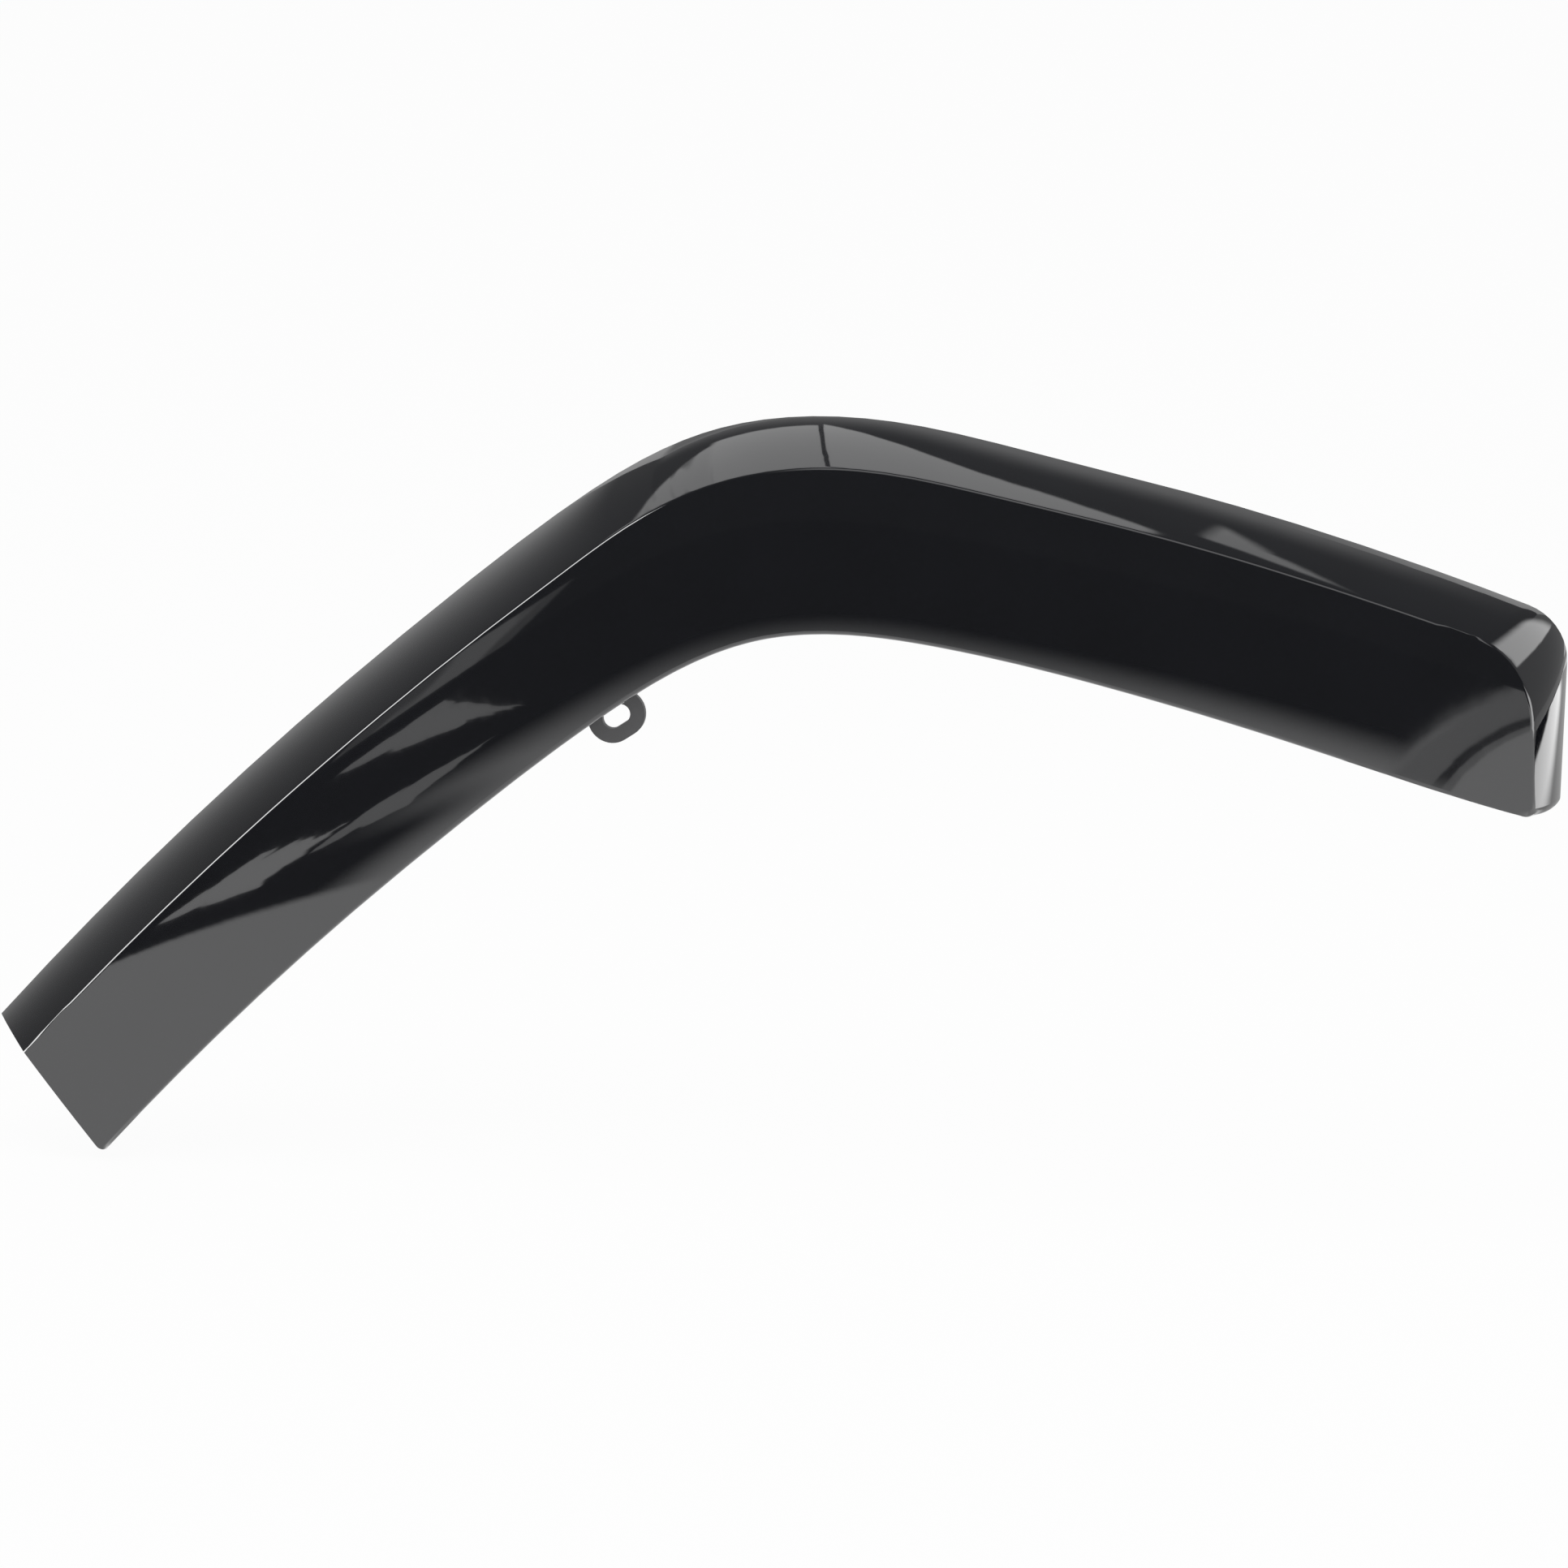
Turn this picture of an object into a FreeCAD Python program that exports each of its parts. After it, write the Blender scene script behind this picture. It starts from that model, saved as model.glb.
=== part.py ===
"""Quarter panel molding: one thin-walled plastic trim piece that follows a wheel arch.

Frame: X runs along the car, Z is up, and the show face looks along -Y. The origin is the centre of the slot in the
fixing tab, on the tab's rear face. Lengths are millimetres and angles are degrees.
"""
import FreeCAD, Part
import math
import os

from FreeCAD import Vector

# Path of the crest, the line between the show face and the shoulder
CREST_BEND_X = 71.0            # middle of the bend
CREST_BEND_Z = 127.0
LEG_HEADING = 38.2             # slope of the lower leg where it runs into the bend
LEG_LENGTH = 366.0             # from the end cut to the bend
LEG_TURN = 9.0                 # slow curve of the leg over that length
RUN_HEADING = -11.2            # slope of the upper run where it leaves the bend
RUN_LENGTH = 251.0             # from the bend to the end wall
RUN_TURN = 8.7                 # slow curve of the run over that length
CREST_BEND_LENGTH = 270.0

# Wheel edge, which repeats the crest lower down
FACE_DROP = 81.5
FACE_SHIFT = 6.0
WHEEL_BEND_LENGTH = 265.0
WHEEL_LEG_TURN = 10.8          # a little more than the crest's, so the face widens towards the end cut
WHEEL_RUN_TURN = 10.6
TOE_LENGTH = 80.0              # flatter stretch of the wheel edge before the end wall
TOE_TURN = 14.0

# Depths along Y
BODY_PLANE = 16.0              # plane of the body panel behind the molding
CREST_DEPTH = 38.0             # crest in front of the body plane, at the bend
EDGE_DEPTH = 36.0              # wheel edge in front of the body plane, at the bend
END_BOW = 4.0                  # how far both ends of the face curve back
FACE_CROWN = 3.0               # bulge across the face

# Shoulder and end wall: how far they spread between the crest and the body plane
LEG_SPREAD = 24.0
RUN_SPREAD = 16.5
END_SPREAD = 12.5
SHOULDER_CROWN = 2.0           # bulge across the shoulder
CREST_CORNER_R = 46.0
BODY_CORNER_R = 29.0

# Wall and edges
WALL = 2.8
CREST_R = 3.0
HEEL_R = 5.0                   # upright edge where the end wall meets the wheel edge

# End cut of the leg
CUT_LEAN = 10.0                # lean of the cut across the face
CUT_RAKE = 24.0                # lean of the cut towards the body panel
CUT_CORNER_R = 4.0

# Return flange along the wheel edge
FLANGE_STOP = 14.0             # where its rear edge steps back, before the end wall

# Fixing tab at the rear edge of the return flange
TAB_HEADING = 34.0
TAB_LENGTH = 30.0
TAB_WIDTH = 24.0
TAB_THICKNESS = 3.0
SLOT_LENGTH = 15.0
SLOT_WIDTH = 9.6

# Clip seats on the back: three-sided towers with a keyhole plate
SEAT_COUNT = 6
SEAT_FIRST = -445.0            # along the crest from the middle of the bend
SEAT_PITCH = 140.0
SEAT_LENGTH = 30.0
SEAT_WIDTH = 22.0
SEAT_WALL = 2.0
SEAT_PLATE = 2.5
SEAT_SETBACK = 5.0             # plate below the body plane
SEAT_ACROSS = 0.45             # place between the crest and the wheel edge
KEY_WIDTH = 8.0

# Construction allowances, all cut away again
OVERRUN = 70.0
FRONT_PLANE = -34.0
REAR_PLANE = 30.0
PATH_STEP = 1.0
STATION_COUNT = 13             # points along each curve
LEVEL_COUNT = 4                # outlines through the depth of the shoulder
ACROSS_COUNT = 8               # points across the show face
ACROSS_FIRST = -0.7            # the face runs on past the crest and the wheel edge
ACROSS_LAST = 1.6


def rotated(heading):
    """Unit vector in the XZ plane at a heading."""
    angle = math.radians(heading)
    return Vector(math.cos(angle), 0, math.sin(angle))


def smooth(share):
    """S-curve from 0 to 1."""
    share = min(max(share, 0.0), 1.0)
    return share * share * (3 - 2 * share)


class Path:
    """A leg, a bend and a run in the XZ plane, measured along the path from the middle of the bend."""

    def __init__(self, bend_x, bend_z, bend_length, leg_turn, run_turn, toe_turn):
        self.bend = bend_length
        self.leg_turn = leg_turn
        self.run_turn = run_turn
        self.toe_turn = toe_turn
        self.start = -bend_length / 2 - LEG_LENGTH
        self.end = bend_length / 2 + RUN_LENGTH
        self.middle = Vector(bend_x, 0, bend_z)
        self.after = self.walk(PATH_STEP)
        self.before = self.walk(-PATH_STEP)

    def heading(self, s):
        share = min(max(s / self.bend + 0.5, 0.0), 1.0)
        eased = share - math.sin(2 * math.pi * share) / (2 * math.pi)
        heading = LEG_HEADING + (RUN_HEADING - LEG_HEADING) * eased
        heading += self.leg_turn * max(-s - self.bend / 2, 0.0) / LEG_LENGTH
        heading -= self.run_turn * max(s - self.bend / 2, 0.0) / RUN_LENGTH
        return heading + self.toe_turn * smooth((s - self.end) / TOE_LENGTH + 1)

    def walk(self, step):
        """Points along the path from the middle of the bend, one step apart."""
        reach = max(LEG_LENGTH, RUN_LENGTH) + self.bend / 2 + 3 * OVERRUN
        points = [self.middle]
        while len(points) * PATH_STEP < reach:
            half_way = (len(points) - 0.5) * step
            points.append(points[-1] + rotated(self.heading(half_way)) * step)
        return points

    def point(self, s):
        points = self.after if s >= 0 else self.before
        index = int(abs(s) / PATH_STEP)
        share = abs(s) / PATH_STEP - index
        return points[index] + (points[index + 1] - points[index]) * share

    def normal(self, s):
        """Unit vector away from the wheel."""
        return rotated(self.heading(s) + 90)


wheel_bend_x = CREST_BEND_X + FACE_SHIFT
wheel_bend_z = CREST_BEND_Z - FACE_DROP
crest = Path(CREST_BEND_X, CREST_BEND_Z, CREST_BEND_LENGTH, LEG_TURN, RUN_TURN, 0)
wheel = Path(wheel_bend_x, wheel_bend_z, WHEEL_BEND_LENGTH, WHEEL_LEG_TURN, WHEEL_RUN_TURN, TOE_TURN)

crest_y = BODY_PLANE - CREST_DEPTH
edge_y = BODY_PLANE - EDGE_DEPTH
end_x = crest.point(crest.end).x
half_length = end_x - CREST_BEND_X


def bow(x):
    """How far the face has curved back at a place along the car."""
    return END_BOW * ((x - CREST_BEND_X) / half_length) ** 2


def spread(s):
    """Spread of the shoulder over its whole depth."""
    return LEG_SPREAD + (RUN_SPREAD - LEG_SPREAD) * smooth(s / crest.bend + 0.5)


def share_of_depth(x, y):
    """0 at the crest and 1 at the body plane."""
    front = crest_y + bow(x)
    return (y - front) / (BODY_PLANE - front)


def crowned(depth):
    """Bulge of the shoulder and end wall at a share of their depth."""
    return 4 * SHOULDER_CROWN * depth * (1 - depth)


def at_depth(point, y):
    return Vector(point.x, y, point.z)


def spline(points):
    curve = Part.BSplineCurve()
    curve.interpolate(points)
    return curve.toShape()


def stations(first, last, count):
    return [first + (last - first) * i / (count - 1) for i in range(count)]


def shoulder_point(s, y, inset):
    """Point of the shoulder at a depth, moved into the part by inset."""
    base = crest.point(s)
    depth = share_of_depth(base.x, y)
    offset = spread(s) * depth + crowned(depth) - inset
    return at_depth(base + crest.normal(s) * offset, y)


def shoulder_outline(y, inset):
    """Closed outline of the shoulder and end wall at a depth: top curve, corner arc, end and two closing lines."""
    depth = share_of_depth(end_x, y)
    wall_x = end_x + END_SPREAD * depth + crowned(depth) - inset
    radius = CREST_CORNER_R + (BODY_CORNER_R - CREST_CORNER_R) * depth - inset
    low, high = 0.0, crest.end + OVERRUN
    while high - low > PATH_STEP / 1000:
        s = (low + high) / 2
        centre_x = shoulder_point(s, y, inset).x - crest.normal(s).x * radius
        low, high = (s, high) if centre_x < wall_x - radius else (low, s)
    top = [shoulder_point(t, y, inset) for t in stations(crest.start - OVERRUN, low, STATION_COUNT)]
    tangent = top[-1]
    centre = tangent - crest.normal(low) * radius
    middle = centre + rotated((crest.heading(low) + 90) / 2) * radius
    corner_end = centre + Vector(radius, 0, 0)
    corner = Part.Arc(tangent, middle, corner_end).toShape()
    lower_right = corner_end - Vector(0, 0, 2 * FACE_DROP)
    lower_left = top[0] - crest.normal(crest.start - OVERRUN) * 2 * FACE_DROP
    lines = Part.makePolygon([corner_end, lower_right, lower_left, top[0]]).Edges
    return Part.Wire([spline(top), corner] + lines)


def shoulder_block(inset, rear):
    """Solid bounded by the shoulder and the end wall, as deep as a rear plane."""
    planes = stations(FRONT_PLANE, rear, LEVEL_COUNT)
    return Part.makeLoft([shoulder_outline(y, inset) for y in planes], True, False)


def wheel_curve(inset):
    """Wheel edge at zero depth, moved into the part by inset and run on past both ends."""
    along = stations(wheel.start - 2 * OVERRUN, wheel.end + OVERRUN, STATION_COUNT)
    return [wheel.point(s) + wheel.normal(s) * inset for s in along]


def wheel_block(inset):
    """Solid of everything on the crest's side of the wheel edge."""
    points = wheel_curve(inset)
    top_z = CREST_BEND_Z + FACE_DROP
    upper_right = Vector(points[-1].x, 0, top_z)
    upper_left = Vector(points[0].x - FACE_DROP, 0, top_z)
    lines = Part.makePolygon([points[-1], upper_right, upper_left, points[0]]).Edges
    face = Part.Face(Part.Wire([spline(points)] + lines))
    face.translate(Vector(0, FRONT_PLANE, 0))
    return face.extrude(Vector(0, REAR_PLANE - FRONT_PLANE, 0))


def face_point(s, across):
    """Point of the show face: across is 0 at the crest and 1 at the wheel edge."""
    upper = crest.point(s)
    point = upper + (wheel.point(s) - upper) * across
    y = crest_y + (edge_y - crest_y) * across - 4 * FACE_CROWN * across * (1 - across)
    return at_depth(point, y + bow(point.x))


def front_cutter(inset):
    """Everything in front of the crowned show face."""
    along = stations(crest.start - 2 * OVERRUN, crest.end + 2 * OVERRUN, STATION_COUNT)
    beyond = stations(ACROSS_FIRST, ACROSS_LAST, ACROSS_COUNT)
    surface = Part.BSplineSurface()
    surface.interpolate([[face_point(s, across) for across in beyond] for s in along])
    face = surface.toShape()
    face.translate(Vector(0, inset, 0))
    return face.extrude(Vector(0, 2 * FRONT_PLANE, 0))


def is_heel(edge):
    """The upright edge at the foot of the end wall."""
    depth = edge.BoundBox.YLength
    centre = edge.CenterOfMass
    return depth > EDGE_DEPTH / 2 and centre.x > end_x - CREST_CORNER_R and centre.z < FACE_SHIFT


def rounded_form():
    """The whole outer form, solid, with its edges rounded."""
    form = shoulder_block(0, BODY_PLANE).common(wheel_block(0)).cut(front_cutter(0)).Solids[0]
    form = form.makeFillet(HEEL_R, [e for e in form.Edges if is_heel(e)])
    front = max((f for f in form.Faces if f.CenterOfMass.y < edge_y + END_BOW), key=lambda f: f.Area)
    first_x = crest.point(crest.start - OVERRUN / 2).x
    return form.makeFillet(CREST_R, [e for e in front.Edges if e.CenterOfMass.x > first_x])


def return_flange_cutter():
    """Everything of the wheel wall behind the plane of the tab, up to the step before the end wall."""
    along = stations(wheel.start - 2 * OVERRUN, wheel.end - FLANGE_STOP, STATION_COUNT)
    low = [wheel.point(s) - wheel.normal(s) * TAB_WIDTH for s in along]
    high = [wheel.point(s) + wheel.normal(s) * 2 * WALL for s in along]
    sides = [Part.makeLine(low[0], high[0]), Part.makeLine(low[-1], high[-1])]
    face = Part.Face(Part.Wire(Part.sortEdges([spline(low), spline(high)] + sides)[0]))
    return face.extrude(Vector(0, REAR_PLANE, 0))


def end_cutter():
    """Everything past the end cut of the leg, with the corner at the wheel edge rounded off."""
    top = crest.point(crest.start)
    out = rotated(crest.heading(crest.start) + 180)
    down = rotated(crest.heading(crest.start) - 90 - CUT_LEAN)
    side = rotated(crest.heading(crest.start) - CUT_LEAN)
    low, high = wheel.start - OVERRUN, wheel.start + OVERRUN
    while high - low > PATH_STEP / 1000:
        s = (low + high) / 2
        low, high = (s, high) if (wheel.point(s) - top).dot(side) < 0 else (low, s)
    corner = wheel.point(low)
    along = rotated(wheel.heading(low))
    outward = wheel.normal(low) * -1
    half_angle = (90 - CUT_LEAN) / 2
    setback = CUT_CORNER_R / math.tan(math.radians(half_angle))
    centre_distance = CUT_CORNER_R / math.sin(math.radians(half_angle))
    bisector = (along - down).normalize()
    first = corner - down * setback
    middle = corner + bisector * (centre_distance - CUT_CORNER_R)
    last = corner + along * setback + outward * WALL / 10
    upper = top - down * FACE_DROP
    below = last + outward * FACE_DROP
    lines = Part.makePolygon([last, below, below + out * 2 * FACE_DROP, upper + out * 2 * FACE_DROP, upper, first])
    face = Part.Face(Part.Wire([Part.Arc(first, middle, last).toShape()] + lines.Edges))
    rake = out * math.tan(math.radians(CUT_RAKE)) + Vector(0, 1, 0)
    face.translate(rake * 2 * FRONT_PLANE + Vector(0, crest_y + bow(top.x), 0))
    return face.extrude(rake * 4 * -FRONT_PLANE)


def obround(length, width):
    """Flat slot shape about the origin, lying along the tab."""
    radius = width / 2
    along = rotated(TAB_HEADING)
    across = rotated(TAB_HEADING + 90)
    reach = along * (length / 2 - radius)
    corners = [reach + across * radius, reach - across * radius, across * -radius - reach, across * radius - reach]
    right = Part.Arc(corners[0], along * (length / 2), corners[1]).toShape()
    left = Part.Arc(corners[2], along * (-length / 2), corners[3]).toShape()
    lower = Part.makeLine(corners[1], corners[2])
    upper = Part.makeLine(corners[3], corners[0])
    return Part.Face(Part.Wire([right, lower, left, upper]))


def tab():
    depth = Vector(0, -TAB_THICKNESS, 0)
    return obround(TAB_LENGTH, TAB_WIDTH).extrude(depth)


def slot():
    cutter = obround(SLOT_LENGTH, SLOT_WIDTH)
    cutter.translate(Vector(0, TAB_THICKNESS, 0))
    return cutter.extrude(Vector(0, -3 * TAB_THICKNESS, 0))


def local_box(length, width, first_y, last_y, shift):
    """Box about the Y axis, moved along X by shift."""
    corner = Vector(shift - length / 2, first_y, -width / 2)
    return Part.makeBox(length, last_y - first_y, width, corner)


def clip_seat(s):
    """Three walls and a plate with a U-shaped keyhole, open along the path."""
    plate_y = BODY_PLANE - SEAT_SETBACK
    seat = local_box(SEAT_LENGTH, SEAT_WIDTH, FRONT_PLANE, plate_y, 0)
    inside = local_box(SEAT_LENGTH, SEAT_WIDTH - 2 * SEAT_WALL, FRONT_PLANE, plate_y - SEAT_PLATE, SEAT_WALL)
    keyhole = Part.makeCylinder(KEY_WIDTH / 2, SEAT_LENGTH, Vector(0, plate_y - SEAT_LENGTH / 2, 0), Vector(0, 1, 0))
    entry = local_box(SEAT_LENGTH, KEY_WIDTH, plate_y - SEAT_PLATE, plate_y, SEAT_LENGTH / 2)
    seat = seat.cut(inside).cut(keyhole).cut(entry)
    seat.rotate(Vector(), Vector(0, -1, 0), crest.heading(s))
    upper = crest.point(s)
    seat.translate(upper + (wheel.point(s) - upper) * SEAT_ACROSS)
    return seat


def molding():
    outer = rounded_form()
    hollow = shoulder_block(WALL, REAR_PLANE).common(wheel_block(WALL)).cut(front_cutter(WALL))
    shell = outer.cut(hollow).cut(return_flange_cutter())
    seats = [clip_seat(SEAT_FIRST + i * SEAT_PITCH).common(outer) for i in range(SEAT_COUNT)]
    shell = shell.fuse([tab()] + seats).cut(slot()).cut(end_cutter())
    return shell.removeSplitter()


os.makedirs("parts", exist_ok=True)
part = molding()
part.exportStep("parts/molding.step")
print("valid", part.isValid(), "solids", len(part.Solids), "volume", round(part.Volume), part.BoundBox)
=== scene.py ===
import math

import bmesh
import bpy
from mathutils import Matrix, Vector
from mathutils.geometry import intersect_point_line


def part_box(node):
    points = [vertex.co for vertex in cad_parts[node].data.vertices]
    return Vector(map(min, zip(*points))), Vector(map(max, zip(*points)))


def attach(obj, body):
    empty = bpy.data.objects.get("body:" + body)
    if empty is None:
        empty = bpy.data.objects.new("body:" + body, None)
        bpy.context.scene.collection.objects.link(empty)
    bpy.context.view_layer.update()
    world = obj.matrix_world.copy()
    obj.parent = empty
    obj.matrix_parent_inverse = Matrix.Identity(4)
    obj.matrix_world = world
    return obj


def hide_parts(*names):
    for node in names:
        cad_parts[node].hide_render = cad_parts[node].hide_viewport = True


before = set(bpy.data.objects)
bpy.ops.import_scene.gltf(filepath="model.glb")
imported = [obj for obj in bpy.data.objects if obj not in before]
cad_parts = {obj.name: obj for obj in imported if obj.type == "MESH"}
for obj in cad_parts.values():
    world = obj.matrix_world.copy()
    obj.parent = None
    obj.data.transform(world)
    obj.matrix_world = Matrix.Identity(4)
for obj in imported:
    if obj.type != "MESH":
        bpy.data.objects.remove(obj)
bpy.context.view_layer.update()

# Camera, in metres and degrees: where the photograph was taken from
CAMERA_PLACE = Vector((0.4509, -1.8893, 0.4847))
CAMERA_AZIMUTH = 11.0
CAMERA_ELEVATION = 15.0
LENS_MM = 93.0
SENSOR_MM = 36.0

# Shape of the show side, in millimetres and degrees, for true surface directions on the polished skin
MM = 1000
CREST_MIDDLE = (71.0, 127.0)
WHEEL_MIDDLE = (77.0, 45.5)
CREST_BEND_LENGTH = 270.0
WHEEL_BEND_LENGTH = 265.0
LEG_HEADING = 38.2
LEG_LENGTH = 366.0
CREST_LEG_TURN = 9.0
WHEEL_LEG_TURN = 10.8
RUN_HEADING = -11.2
RUN_LENGTH = 251.0
CREST_RUN_TURN = 8.7
WHEEL_RUN_TURN = 10.6
TOE_LENGTH = 80.0
TOE_TURN = 14.0
BODY_PLANE = 16.0
CREST_Y = -22.0
EDGE_Y = -20.0
END_BOW = 4.0
FACE_CROWN = 3.0
LEG_SPREAD = 24.0
RUN_SPREAD = 16.5
END_SPREAD = 12.5
SHOULDER_CROWN = 2.0
CREST_CORNER_R = 46.0
BODY_CORNER_R = 29.0
EDGE_R = 3.0
PATH_STEP = 1.0
PATH_REACH = 560
SKIN_TOLERANCE = 0.6
SKIN_ANGLE = math.radians(6)
EDGE_ANGLE = math.radians(35)
SKIN_REACH = 2.65
FAR = 1000.0

# How closely the places on that shape are searched for
SEARCH_ROUNDS = 12
SEARCH_PACE = 0.8
HALVINGS = 40
SLOPE_STEP = 0.05

# Finish
BLACK = (0.0055, 0.006, 0.008, 1)
RAW_BLACK = (0.018, 0.018, 0.019, 1)
TAB_GREY = (0.12, 0.12, 0.123, 1)
TAB_REACH = 0.0165
TAB_FRONT = -0.0045
POLISHED_LIMIT = 0.12
GRAIN = 1500.0

# Studio
FLOOR_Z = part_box("molding")[0][2] - 0.001
FLOOR_BACK = 40.0
FLOOR_SIDE = 20.0
FLOOR_GLOW = 0.95
TENT = 2.6
ROOF_Z = 1.6
LAYER = 0.001
CLOTH_Z = FLOOR_Z + LAYER
CARD_Z = FLOOR_Z + 2 * LAYER
DARK = 0.05
HARD = ((0, 0), (0, 0))
SOFT = ((0.06, 0.06), (0.06, 0.06))
WAVE = 0.5
WAVE_SCALE = 3.5
STREAK = (1.0, 0.2, 1.0)
STREAK_LOW = 0.40
STREAK_HIGH = 0.52
STREAK_DIMMEST = 0.45
KEY_PLACE = (0.2, -0.5, 1.7)
KEY_TARGET = (0.05, 0.0, 0.0)
KEY_SIZE = (1.6, 1.0)
KEY_POWER = 14
SKY_FILL = 0.6
SKY_SHOWN = 1.0


def smooth(share):
    share = min(max(share, 0.0), 1.0)
    return share * share * (3 - 2 * share)


class Path:
    """A leg, a bend and a run in the XZ plane, measured from the middle of the bend."""

    def __init__(self, middle, bend, leg_turn, run_turn, toe_turn):
        self.bend = bend
        self.leg_turn = leg_turn
        self.run_turn = run_turn
        self.toe_turn = toe_turn
        self.end = bend / 2 + RUN_LENGTH
        self.after = self.walk(middle, PATH_STEP)
        self.before = self.walk(middle, -PATH_STEP)

    def heading(self, s):
        share = min(max(s / self.bend + 0.5, 0.0), 1.0)
        eased = share - math.sin(2 * math.pi * share) / (2 * math.pi)
        heading = LEG_HEADING + (RUN_HEADING - LEG_HEADING) * eased
        heading += self.leg_turn * max(-s - self.bend / 2, 0.0) / LEG_LENGTH
        heading -= self.run_turn * max(s - self.bend / 2, 0.0) / RUN_LENGTH
        return math.radians(heading + self.toe_turn * smooth((s - self.end) / TOE_LENGTH + 1))

    def along(self, s):
        return Vector((math.cos(self.heading(s)), math.sin(self.heading(s))))

    def outward(self, s):
        return Vector((-math.sin(self.heading(s)), math.cos(self.heading(s))))

    def walk(self, middle, step):
        points = [Vector(middle)]
        while len(points) < PATH_REACH:
            points.append(points[-1] + self.along((len(points) - 0.5) * step) * step)
        return points

    def point(self, s):
        points = self.after if s >= 0 else self.before
        index = min(int(abs(s) / PATH_STEP), PATH_REACH - 2)
        share = abs(s) / PATH_STEP - index
        return points[index] + (points[index + 1] - points[index]) * share

    def nearest(self, place, s):
        """Distance along the path of the point square to a place, from a first guess."""
        for _ in range(SEARCH_ROUNDS):
            s += SEARCH_PACE * (place - self.point(s)).dot(self.along(s))
            s = min(max(s, 2 * PATH_STEP - PATH_REACH), PATH_REACH - 2 * PATH_STEP)
        return s


CREST = Path(CREST_MIDDLE, CREST_BEND_LENGTH, CREST_LEG_TURN, CREST_RUN_TURN, 0.0)
WHEEL = Path(WHEEL_MIDDLE, WHEEL_BEND_LENGTH, WHEEL_LEG_TURN, WHEEL_RUN_TURN, TOE_TURN)
END_X = CREST.point(CREST.end).x


def bow(x):
    return END_BOW * ((x - CREST_MIDDLE[0]) / (END_X - CREST_MIDDLE[0])) ** 2


def depth_share(x, y):
    front = CREST_Y + bow(x)
    return (y - front) / (BODY_PLANE - front)


def crowned(share):
    return 4 * SHOULDER_CROWN * share * (1 - share)


def face_field(place):
    """Distance behind the crowned show face, along Y."""
    flat = Vector((place.x, place.z))
    s = CREST.nearest(flat, place.x - CREST_MIDDLE[0])
    across = 0.5
    for _ in range(SEARCH_ROUNDS):
        upper = CREST.point(s)
        rung = WHEEL.point(s) - upper
        across = (flat - upper).dot(rung) / rung.length_squared
        s += SEARCH_PACE * (flat - upper - rung * across).dot(CREST.along(s))
    y = CREST_Y + (EDGE_Y - CREST_Y) * across - 4 * FACE_CROWN * across * (1 - across)
    return place.y - y - bow(place.x)


def shoulder_offset(s, y):
    share = depth_share(CREST.point(s).x, y)
    spread = LEG_SPREAD + (RUN_SPREAD - LEG_SPREAD) * smooth(s / CREST.bend + 0.5)
    return spread * share + crowned(share)


def shoulder_field(place):
    """Distance inside the shoulder."""
    flat = Vector((place.x, place.z))
    s = CREST.nearest(flat, place.x - CREST_MIDDLE[0])
    return shoulder_offset(s, place.y) - (flat - CREST.point(s)).dot(CREST.outward(s))


def corner_field(place):
    """Distance inside the round corner between the shoulder and the end wall."""
    if place.x < END_X - CREST_CORNER_R:
        return FAR
    share = depth_share(END_X, place.y)
    radius = CREST_CORNER_R + (BODY_CORNER_R - CREST_CORNER_R) * share
    centre_x = END_X + END_SPREAD * share + crowned(share) - radius
    low, high = 0.0, CREST.end + CREST_CORNER_R
    for _ in range(HALVINGS):
        s = (low + high) / 2
        centre = CREST.point(s) + CREST.outward(s) * (shoulder_offset(s, place.y) - radius)
        low, high = (s, high) if centre.x < centre_x else (low, s)
    out = Vector((place.x, place.z)) - centre
    if out.y < 0 or out.dot(CREST.along(s)) < 0:
        return FAR
    return radius - out.length


def wall_field(place):
    """Distance inside the end wall."""
    share = depth_share(END_X, place.y)
    return END_X + END_SPREAD * share + crowned(share) - place.x


def wheel_field(place):
    """Distance inside the wall along the wheel edge."""
    flat = Vector((place.x, place.z))
    s = WHEEL.nearest(flat, place.x - WHEEL_MIDDLE[0])
    return (flat - WHEEL.point(s)).dot(WHEEL.outward(s))


def skin_direction(field, place):
    """Outward direction of the skin and the distance from it."""
    slopes = []
    for axis in (Vector((SLOPE_STEP, 0, 0)), Vector((0, SLOPE_STEP, 0)), Vector((0, 0, SLOPE_STEP))):
        slopes.append(field(place + axis) - field(place - axis))
    slope = Vector(slopes) / (2 * SLOPE_STEP)
    return -slope.normalized(), field(place) / slope.length


SKINS = ((face_field, "face"), (corner_field, "side"), (shoulder_field, "side"), (wall_field, "side"),
         (wheel_field, "wheel"))


def reach(place, lines):
    """Distance from a place to the nearest of some short lines."""
    nearest = FAR
    for start, stop in lines:
        share = intersect_point_line(place, start, stop)[1]
        nearest = min(nearest, (place - start.lerp(stop, min(max(share, 0.0), 1.0))).length)
    return nearest


def edge_direction(first, first_reach, second, second_reach):
    """Direction on a rounded edge between two skins, by the distance to where each of them begins."""
    first_turn = math.asin(min(first_reach / (2 * EDGE_R), 1.0))
    second_turn = math.asin(min(second_reach / (2 * EDGE_R), 1.0))
    return first.slerp(second, first_turn / (first_turn + second_turn))


def spot(mesh, index):
    return tuple(round(c, 3) for c in mesh.vertices[index].co * MM)


def close_skins(place):
    """Name, direction and distance of each skin near a place."""
    return [(name, *skin_direction(field, place)) for field, name in SKINS if abs(field(place)) < SKIN_REACH]


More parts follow.
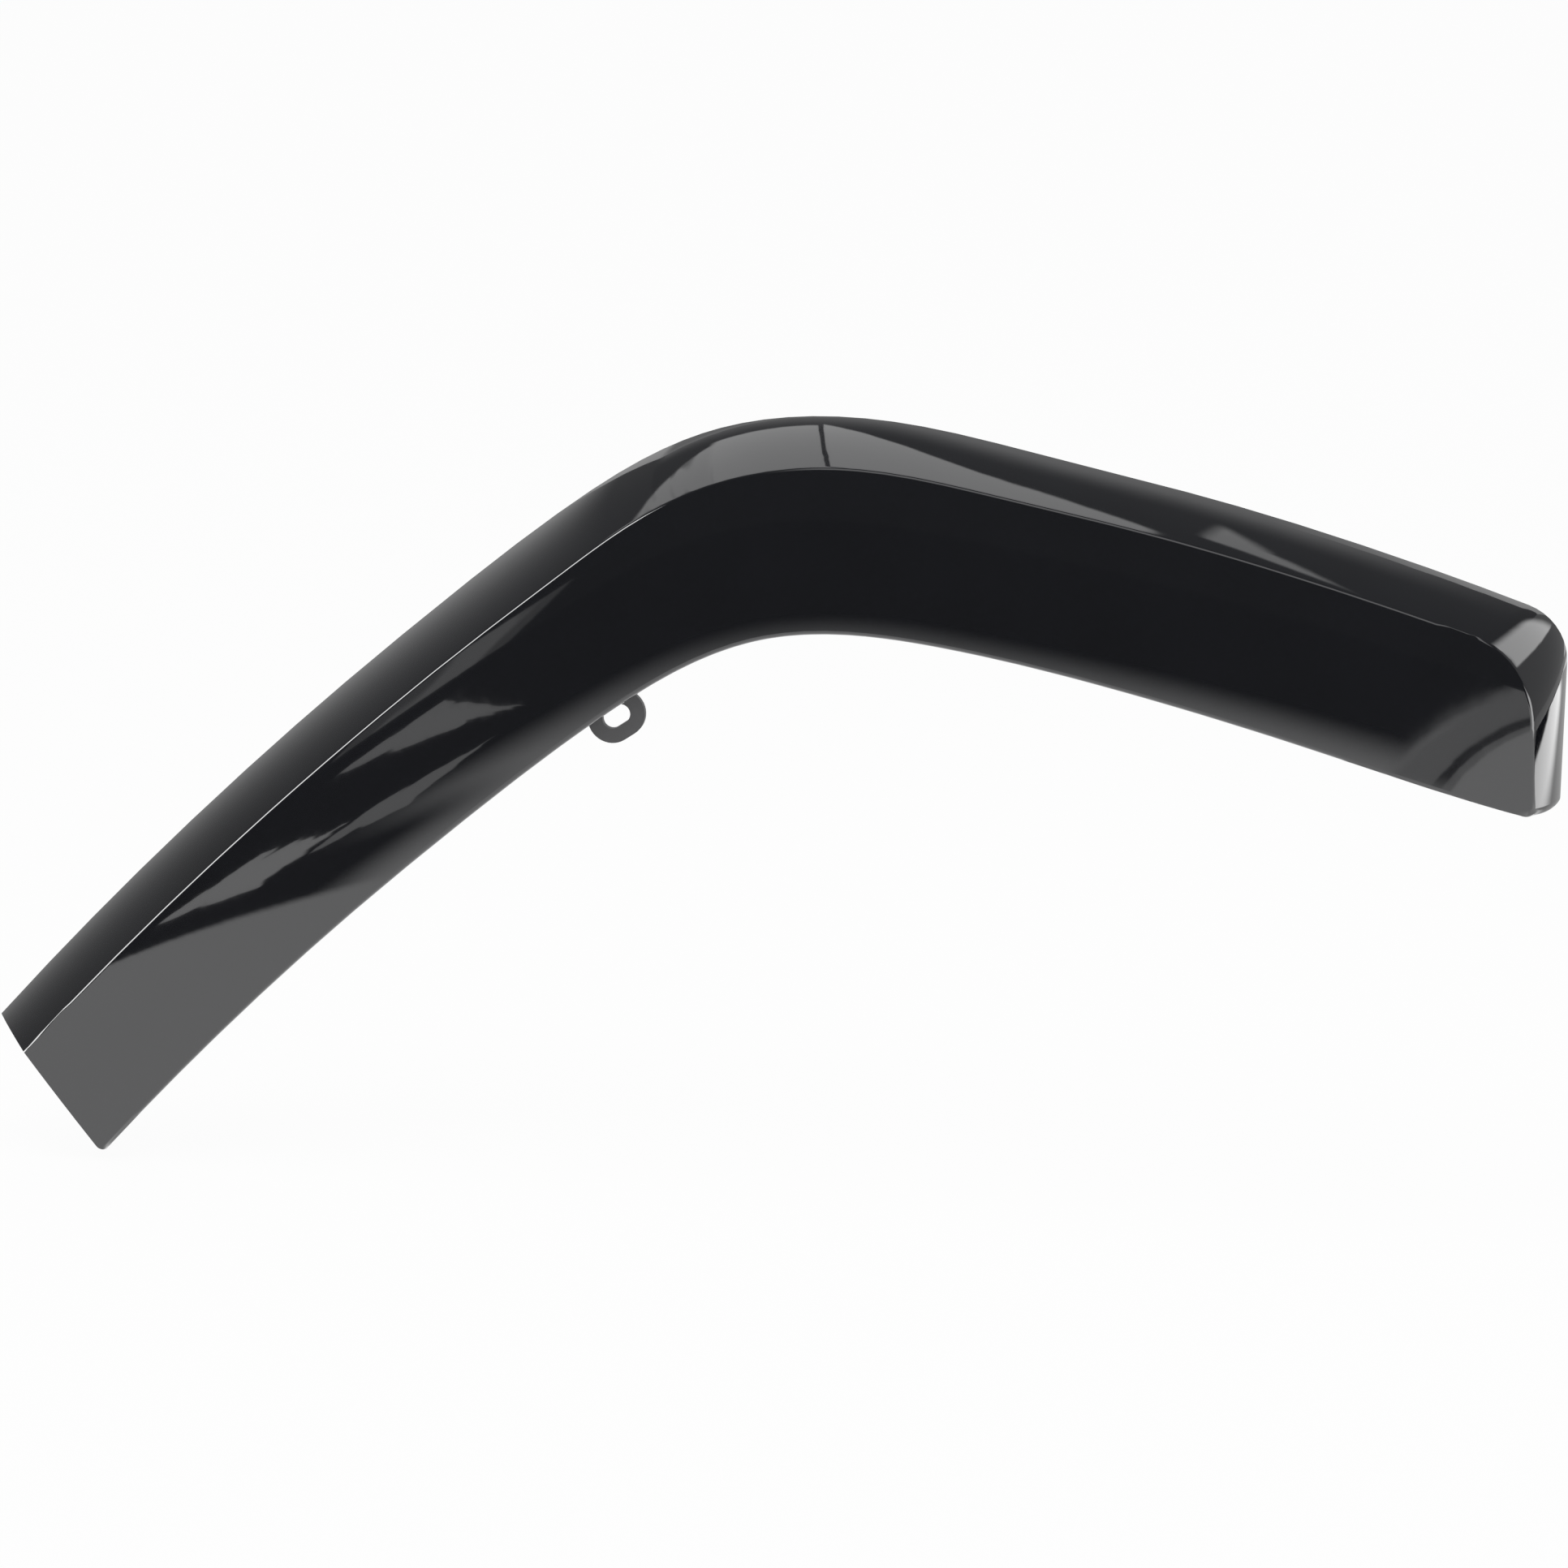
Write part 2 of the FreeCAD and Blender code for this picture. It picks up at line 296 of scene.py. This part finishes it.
def true_normals(mesh):
    """Vertex directions, taken on the polished side from the shape itself, and which vertices are near it."""
    found = [None] * len(mesh.vertices)
    for loop, corner in zip(mesh.loops, mesh.corner_normals):
        found[loop.vertex_index] = corner.vector.copy()
    close = [close_skins(vertex.co * MM) for vertex in mesh.vertices]
    on_skin = {}
    loose = []
    for index, skins in enumerate(close):
        for name, direction, gap in skins:
            if abs(gap) < SKIN_TOLERANCE and found[index].angle(direction) < SKIN_ANGLE:
                found[index] = direction
                on_skin.setdefault(spot(mesh, index), []).append((name, direction))
                break
        else:
            loose.append(index)
    rim = {}
    for index in loose:
        for name, direction in on_skin.get(spot(mesh, index), ()):
            if found[index].angle(direction) < EDGE_ANGLE:
                found[index] = direction
                rim[index] = name
                break
    lines = {name: [] for _, name in SKINS}
    for edge in mesh.edges:
        start, stop = edge.vertices
        if start in rim and rim[start] == rim.get(stop):
            lines[rim[start]].append((mesh.vertices[start].co * MM, mesh.vertices[stop].co * MM))
    for index in loose:
        if index in rim or len(close[index]) < 2 or close[index][0][0] == close[index][1][0]:
            continue
        place = mesh.vertices[index].co * MM
        (first, first_way, _), (second, second_way, _) = close[index][:2]
        best = edge_direction(first_way, reach(place, lines[first]), second_way, reach(place, lines[second]))
        if found[index].angle(best) < EDGE_ANGLE:
            found[index] = best
    return found, [bool(skins) for skins in close]


def new_material(name):
    material = bpy.data.materials.new(name)
    material.use_nodes = True
    tree = material.node_tree
    return material, tree, tree.nodes["Principled BSDF"]


def noise(tree, scale, detail, rough):
    node = tree.nodes.new("ShaderNodeTexNoise")
    node.inputs["Scale"].default_value = scale
    node.inputs["Detail"].default_value = detail
    node.inputs["Roughness"].default_value = rough
    place = tree.nodes.new("ShaderNodeNewGeometry")
    tree.links.new(place.outputs["Position"], node.inputs["Vector"])
    return node


def ramp(tree, source, low, high):
    node = tree.nodes.new("ShaderNodeMapRange")
    node.inputs["To Min"].default_value = low
    node.inputs["To Max"].default_value = high
    tree.links.new(source, node.inputs["Value"])
    return node.outputs["Result"]


def tint(tree, source, dark, light):
    node = tree.nodes.new("ShaderNodeMix")
    node.data_type = "RGBA"
    node.inputs["A"].default_value = dark
    node.inputs["B"].default_value = light
    tree.links.new(source, node.inputs["Factor"])
    return node.outputs["Result"]


def bump(tree, shader, height, strength, distance):
    node = tree.nodes.new("ShaderNodeBump")
    node.inputs["Strength"].default_value = strength
    node.inputs["Distance"].default_value = distance
    tree.links.new(height, node.inputs["Height"])
    tree.links.new(node.outputs["Normal"], shader.inputs["Normal"])


def gloss_black():
    """Polished show side: deep black with a faint ripple in the clear skin."""
    material, tree, shader = new_material("gloss_black")
    cloud = noise(tree, scale=22.0, detail=3.0, rough=0.5)
    shade = ramp(tree, cloud.outputs["Fac"], low=0.0, high=1.0)
    lighter = tuple(c * 1.5 for c in BLACK[:3]) + (1,)
    tree.links.new(tint(tree, shade, BLACK, lighter), shader.inputs["Base Color"])
    fine = noise(tree, scale=900.0, detail=2.0, rough=0.5)
    tree.links.new(ramp(tree, fine.outputs["Fac"], low=0.03, high=0.07), shader.inputs["Roughness"])
    peel = noise(tree, scale=130.0, detail=1.0, rough=0.4)
    bump(tree, shader, peel.outputs["Fac"], strength=0.04, distance=0.0004)
    shader.inputs["IOR"].default_value = 1.5
    shader.inputs["Coat Weight"].default_value = 1.0
    shader.inputs["Coat Roughness"].default_value = 0.02
    shader.inputs["Coat IOR"].default_value = 1.7
    return material


def moulded(name, colour):
    """Unpolished moulded plastic with a fine spark-eroded grain."""
    material, tree, shader = new_material(name)
    cloud = noise(tree, scale=60.0, detail=4.0, rough=0.6)
    lighter = tuple(c * 1.35 for c in colour[:3]) + (1,)
    tree.links.new(tint(tree, cloud.outputs["Fac"], colour, lighter), shader.inputs["Base Color"])
    grain = noise(tree, scale=GRAIN, detail=3.0, rough=0.6)
    tree.links.new(ramp(tree, grain.outputs["Fac"], low=0.42, high=0.62), shader.inputs["Roughness"])
    bump(tree, shader, grain.outputs["Fac"], strength=0.25, distance=0.0003)
    return material


def is_polished(face, near):
    return face.normal.y < POLISHED_LIMIT and all(near[vertex.index] for vertex in face.verts)


def is_tab(face):
    centre = face.calc_center_median()
    return centre.y > TAB_FRONT and math.hypot(centre.x, centre.z) < TAB_REACH


def molding_shell():
    """The moulded wall, with surface directions that let highlights run over it without a break."""
    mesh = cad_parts["molding"].data.copy()
    mesh.name = "molding_shell"
    directions, near = true_normals(mesh)
    mesh.materials.clear()
    work = bmesh.new()
    work.from_mesh(mesh)
    for face in work.faces:
        face.smooth = True
        face.material_index = 2 if is_tab(face) else 0 if is_polished(face, near) else 1
    work.to_mesh(mesh)
    work.free()
    mesh.normals_split_custom_set_from_vertices(directions)
    mesh.materials.append(gloss_black())
    mesh.materials.append(moulded("back_black", RAW_BLACK))
    mesh.materials.append(moulded("tab_grey", TAB_GREY))
    shell = bpy.data.objects.new("molding_shell", mesh)
    bpy.context.scene.collection.objects.link(shell)
    return shell


def add_camera():
    data = bpy.data.cameras.new("camera")
    data.lens = LENS_MM
    data.sensor_width = SENSOR_MM
    camera = bpy.data.objects.new("camera", data)
    azimuth = math.radians(CAMERA_AZIMUTH)
    elevation = math.radians(CAMERA_ELEVATION)
    back = Vector((math.sin(azimuth) * math.cos(elevation), -math.cos(azimuth) * math.cos(elevation),
                   math.sin(elevation)))
    right = Vector((math.cos(azimuth), math.sin(azimuth), 0))
    up = back.cross(right)
    turn = Matrix((right, up, back)).transposed().to_4x4()
    camera.matrix_world = Matrix.Translation(CAMERA_PLACE) @ turn
    bpy.context.scene.collection.objects.link(camera)
    bpy.context.scene.camera = camera


def shown_rays(tree):
    """1 for rays that show the background itself: seen by the camera, in gloss or through glass."""
    path = tree.nodes.new("ShaderNodeLightPath")
    total = path.outputs["Is Camera Ray"]
    for name in ("Is Glossy Ray", "Is Transmission Ray"):
        node = tree.nodes.new("ShaderNodeMath")
        node.operation = "MAXIMUM"
        tree.links.new(total, node.inputs[0])
        tree.links.new(path.outputs[name], node.inputs[1])
        total = node.outputs[0]
    return total


def sheet(name, corners, material):
    mesh = bpy.data.meshes.new(name)
    mesh.from_pydata(corners, [], [tuple(range(len(corners)))])
    mesh.materials.append(material)
    card = bpy.data.objects.new(name, mesh)
    bpy.context.scene.collection.objects.link(card)
    return card


def only_in_gloss(card):
    """Keep a studio card out of everything but reflections."""
    card.visible_camera = False
    card.visible_diffuse = False
    card.visible_transmission = False
    card.visible_volume_scatter = False
    card.visible_shadow = False


def floor_material():
    """White floor that keeps a soft part of the shadow."""
    material, tree, shader = new_material("white_floor")
    shader.inputs["Base Color"].default_value = (0.85, 0.85, 0.85, 1)
    shader.inputs["Roughness"].default_value = 0.9
    shader.inputs["Specular IOR Level"].default_value = 0.0
    glow = tree.nodes.new("ShaderNodeEmission")
    mix = tree.nodes.new("ShaderNodeMixShader")
    share = tree.nodes.new("ShaderNodeMath")
    share.operation = "MULTIPLY"
    share.inputs[1].default_value = FLOOR_GLOW
    tree.links.new(shown_rays(tree), share.inputs[0])
    tree.links.new(share.outputs[0], mix.inputs["Fac"])
    tree.links.new(shader.outputs["BSDF"], mix.inputs[1])
    tree.links.new(glow.outputs["Emission"], mix.inputs[2])
    tree.links.new(mix.outputs["Shader"], tree.nodes["Material Output"].inputs["Surface"])
    return material


def waved(tree, place):
    """Place on a card, shifted unevenly so that its edges waver."""
    cloud = tree.nodes.new("ShaderNodeTexNoise")
    cloud.inputs["Scale"].default_value = WAVE_SCALE
    cloud.inputs["Detail"].default_value = 1.0
    tree.links.new(place, cloud.inputs["Vector"])
    shift = tree.nodes.new("ShaderNodeVectorMath")
    shift.operation = "MULTIPLY_ADD"
    shift.inputs[1].default_value = (WAVE, WAVE, 0)
    shift.inputs[2].default_value = (-WAVE / 2, -WAVE / 2, 0)
    tree.links.new(cloud.outputs["Color"], shift.inputs[0])
    total = tree.nodes.new("ShaderNodeVectorMath")
    tree.links.new(place, total.inputs[0])
    tree.links.new(shift.outputs["Vector"], total.inputs[1])
    return total.outputs["Vector"]


def card_share(tree, edges, wavy):
    """1 in the middle of a card, fading to 0 over the low and high widths given for each of its axes."""
    place = tree.nodes.new("ShaderNodeTexCoord").outputs["UV"]
    split = tree.nodes.new("ShaderNodeSeparateXYZ")
    tree.links.new(waved(tree, place) if wavy else place, split.inputs["Vector"])
    total = None
    for axis, (low, high) in zip("XY", edges):
        for start, stop, wide in ((0.0, low, low), (1.0, 1.0 - high, high)):
            if wide == 0:
                continue
            fade = tree.nodes.new("ShaderNodeMapRange")
            fade.interpolation_type = "SMOOTHSTEP"
            fade.inputs["From Min"].default_value = min(start, stop)
            fade.inputs["From Max"].default_value = max(start, stop)
            fade.inputs["To Min"].default_value = 0.0 if start < stop else 1.0
            fade.inputs["To Max"].default_value = 1.0 if start < stop else 0.0
            tree.links.new(split.outputs[axis], fade.inputs["Value"])
            if total is None:
                total = fade.outputs["Result"]
                continue
            both = tree.nodes.new("ShaderNodeMath")
            both.operation = "MULTIPLY"
            tree.links.new(total, both.inputs[0])
            tree.links.new(fade.outputs["Result"], both.inputs[1])
            total = both.outputs[0]
    return total


def streaks(tree, share, scale):
    """Break a card's glow up into uneven streaks along its second axis."""
    place = tree.nodes.new("ShaderNodeTexCoord")
    cloud = tree.nodes.new("ShaderNodeTexNoise")
    cloud.inputs["Scale"].default_value = scale
    cloud.inputs["Detail"].default_value = 1.0
    drawn_out = tree.nodes.new("ShaderNodeVectorMath")
    drawn_out.operation = "MULTIPLY"
    drawn_out.inputs[1].default_value = STREAK
    tree.links.new(place.outputs["UV"], drawn_out.inputs[0])
    tree.links.new(drawn_out.outputs["Vector"], cloud.inputs["Vector"])
    level = tree.nodes.new("ShaderNodeMapRange")
    level.interpolation_type = "SMOOTHSTEP"
    level.inputs["From Min"].default_value = STREAK_LOW
    level.inputs["From Max"].default_value = STREAK_HIGH
    level.inputs["To Min"].default_value = STREAK_DIMMEST
    tree.links.new(cloud.outputs["Fac"], level.inputs["Value"])
    both = tree.nodes.new("ShaderNodeMath")
    both.operation = "MULTIPLY"
    tree.links.new(share, both.inputs[0])
    tree.links.new(level.outputs["Result"], both.inputs[1])
    return both.outputs[0]


def card_material(name, strength, edges, streaky, wavy):
    """Studio card that glows at a strength, clear where it fades out. A low strength makes dark cloth."""
    material = bpy.data.materials.new(name)
    material.use_nodes = True
    tree = material.node_tree
    glow = tree.nodes.new("ShaderNodeEmission")
    glow.inputs["Strength"].default_value = strength
    clear = tree.nodes.new("ShaderNodeBsdfTransparent")
    mix = tree.nodes.new("ShaderNodeMixShader")
    mix.inputs["Fac"].default_value = 1.0
    share = card_share(tree, edges, wavy)
    if streaky:
        share = streaks(tree, share, streaky)
    if share:
        tree.links.new(share, mix.inputs["Fac"])
    tree.links.new(clear.outputs["BSDF"], mix.inputs[1])
    tree.links.new(glow.outputs["Emission"], mix.inputs[2])
    tree.links.new(mix.outputs["Shader"], tree.nodes["Material Output"].inputs["Surface"])
    return material


def card(name, corners, strength, edges, streaky=0, wavy=False):
    """Card seen only in reflections. Its first axis runs from corner 1 to 2, its second from 1 to 4."""
    piece = sheet(name, corners, card_material(name, strength, edges, streaky, wavy))
    layer = piece.data.uv_layers.new(name="across")
    for spot, place in zip(layer.data, ((0, 0), (1, 0), (1, 1), (0, 1))):
        spot.uv = place
    only_in_gloss(piece)


def level_card(name, spots, z, strength, edges, streaky=0, wavy=False):
    card(name, [(x, y, z) for x, y in spots], strength, edges, streaky, wavy)


def upright_card(name, first, last, low, high, strength, edges, streaky=0):
    corners = [(*first, low), (*last, low), (*last, high), (*first, high)]
    card(name, corners, strength, edges, streaky)


def add_floor():
    corners = [(-FLOOR_SIDE, -FLOOR_SIDE, FLOOR_Z), (FLOOR_SIDE, -FLOOR_SIDE, FLOOR_Z),
               (FLOOR_SIDE, FLOOR_BACK, FLOOR_Z), (-FLOOR_SIDE, FLOOR_BACK, FLOOR_Z)]
    sheet("floor", corners, floor_material())


def add_tent():
    """Cloth around and in front of the molding, which its polished skin mirrors."""
    low, high = CLOTH_Z, TENT
    upright_card("front_cloth", (-TENT, -TENT), (TENT, -TENT), low, high, 0.06, HARD)
    upright_card("back_cloth", (-TENT, TENT), (TENT, TENT), low, high, 0.9, HARD)
    upright_card("left_cloth", (-TENT, -TENT), (-TENT, TENT), low, high, 0.14, HARD)
    upright_card("right_cloth", (TENT, -TENT), (TENT, TENT), low, high, 0.3, HARD)
    level_card("top_cloth", [(-TENT, -TENT), (TENT, -TENT), (TENT, TENT), (-TENT, TENT)], high, 0.12, HARD)
    level_card("ground_cloth", [(0.65, -TENT), (-2.30, -1.93), (-0.234, -0.335), (0.335, -0.335)], low, DARK,
               ((0.02, 0.03), (0, 0.12)))
    level_card("leg_cloth", [(-2.30, -1.93), (-0.12, -0.247), (0.02, -0.36), (-1.75, -1.93)], low + LAYER / 2,
               DARK, ((0, 0.06), (0.1, 0.5)))
    level_card("far_cloth", [(0.65, -TENT), (-TENT, -TENT), (-TENT, -2.15), (-2.30, -1.93)], low, DARK, HARD)


def add_roof_cards():
    """Soft boxes overhead, mirrored by the shoulder."""
    level_card("roof_box_left", [(-1.05, -0.5), (-0.087, -0.5), (-0.29, 1.17), (-1.05, 1.17)], ROOF_Z, 1.1,
               ((0.12, 0.004), (0, 0.03)))
    level_card("roof_box_right", [(-0.067, -0.5), (0.57, -0.5), (0.57, 0.34), (-0.27, 1.21)], ROOF_Z, 1.2,
               ((0.004, 0.05), (0, 0.03)))
    level_card("roof_wing", [(-2.1, -0.5), (-0.93, -0.5), (-0.93, 1.19), (-2.1, 0.12)], ROOF_Z + LAYER, 1.0,
               ((0.15, 0), (0, 0.12)), streaky=6.0)
    level_card("roof_back", [(-1.6, 1.2), (1.2, 0.7), (1.2, TENT), (-1.6, TENT)], ROOF_Z + 20 * LAYER, 0.42,
               ((0.05, 0.2), (0.4, 0)))
    level_card("roof_patch", [(0.90, 0.22), (0.60, 0.42), (0.62, 0.90), (0.74, 0.50)], ROOF_Z, 0.9,
               ((0.25, 0.25), (0.25, 0.3)))


def add_end_cards():
    """Cards to the right, mirrored by the closed end and its corner."""
    upright_card("corner_card", (1.25, -0.10), (1.25, 0.80), 0.50, 1.30, 2.2, ((0.05, 0.3), (0.05, 0.4)))
    level_card("end_shade", [(0.55, 0.25), (1.25, 0.25), (1.25, 1.30), (0.55, 1.30)], CARD_Z, 0.45,
               ((0.1, 0.1), (0.1, 0.1)))
    level_card("end_card", [(0.98, 0.30), (1.30, 0.30), (1.30, 1.10), (0.98, 1.10)], CARD_Z + LAYER, 2.1,
               ((0.5, 0.05), (0.1, 0.2)))
    level_card("end_gap", [(1.30, 0.2), (1.39, 0.2), (1.39, 1.3), (1.30, 1.3)], CARD_Z, 0.0,
               ((0.1, 0.1), (0, 0)))
    level_card("right_ground", [(1.39, -0.2), (TENT, -0.2), (TENT, TENT), (1.39, TENT)], CARD_Z, 0.42, HARD)
    upright_card("end_strip", (0.95, -0.95), (1.35, -0.35), CARD_Z, 0.20, 3.2, ((0.2, 0.2), (0.1, 0.2)))


def add_line_cards():
    """Bright strips that draw the thin line along the crest, and the screen behind the leg."""
    upright_card("left_screen", (-1.3, 0.05), (-1.3, 1.5), CARD_Z, 1.1, 0.75, ((1.0, 0), (0, 0.25)))
    crest_corners = [(-1.35, -0.20, -0.15), (-1.35, -0.95, -0.15), (-1.35, -2.00, 1.2), (-1.35, -1.10, 1.2)]
    card("crest_strip", crest_corners, 7.0, ((0.25, 0.25), (0.05, 0.1)))
    front_corners = [(-0.6, -1.9, 1.0), (1.4, -1.9, 1.0), (1.4, -1.0, 1.6), (-0.6, -1.0, 1.6)]
    card("front_strip", front_corners, 0.9, ((0.2, 0.1), (0.2, 0.2)))


def add_ground_cards():
    """Paler patches on the dark ground, mirrored by the show face at the leg and the toe."""
    level_card("leg_patch_a", [(-0.81, -0.91), (-0.37, -0.53), (-0.31, -0.61), (-0.62, -0.92)], CARD_Z, 1.05,
               SOFT, wavy=True)
    level_card("leg_patch_b", [(-0.35, -0.56), (-0.20, -0.50), (-0.165, -0.62), (-0.30, -0.63)], CARD_Z, 0.65,
               SOFT, wavy=True)
    level_card("leg_patch_c", [(-0.99, -1.70), (-0.31, -0.88), (-0.155, -0.68), (-0.80, -1.80)], CARD_Z, 0.7,
               SOFT, wavy=True)
    upright_card("leg_patch_d", (-1.5, -2.5), (-1.02, -2.5), -0.22, -0.02, 0.5, SOFT, streaky=2.5)
    level_card("toe_band", [(0.72, -TENT), (0.60, -TENT), (0.315, -0.30), (0.372, -0.30)], CARD_Z, 0.6,
               ((0.05, 0.25), (0, 0.05)))
    level_card("toe_gap", [(0.715, -TENT), (0.69, -TENT), (0.360, -0.34), (0.370, -0.34)], CARD_Z + LAYER,
               0.1, ((0.2, 0.2), (0, 0.05)))


def add_key_light():
    data = bpy.data.lights.new("key_box", "AREA")
    data.shape = "RECTANGLE"
    data.size, data.size_y = KEY_SIZE
    data.energy = KEY_POWER
    light = bpy.data.objects.new("key_box", data)
    light.location = KEY_PLACE
    light.rotation_euler = (Vector(KEY_TARGET) - Vector(KEY_PLACE)).to_track_quat("-Z", "Y").to_euler()
    light.visible_camera = False
    light.visible_glossy = False
    bpy.context.scene.collection.objects.link(light)


def add_world():
    world = bpy.data.worlds.new("studio")
    bpy.context.scene.world = world
    world.use_nodes = True
    tree = world.node_tree
    sky = tree.nodes["Background"]
    sky.inputs["Color"].default_value = (1, 1, 1, 1)
    tree.links.new(ramp(tree, shown_rays(tree), SKY_FILL, SKY_SHOWN), sky.inputs["Strength"])


shell = molding_shell()
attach(shell, "root")
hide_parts("molding")
add_camera()
add_floor()
add_tent()
add_roof_cards()
add_end_cards()
add_line_cards()
add_ground_cards()
add_key_light()
add_world()
bpy.context.scene.view_settings.view_transform = "Standard"
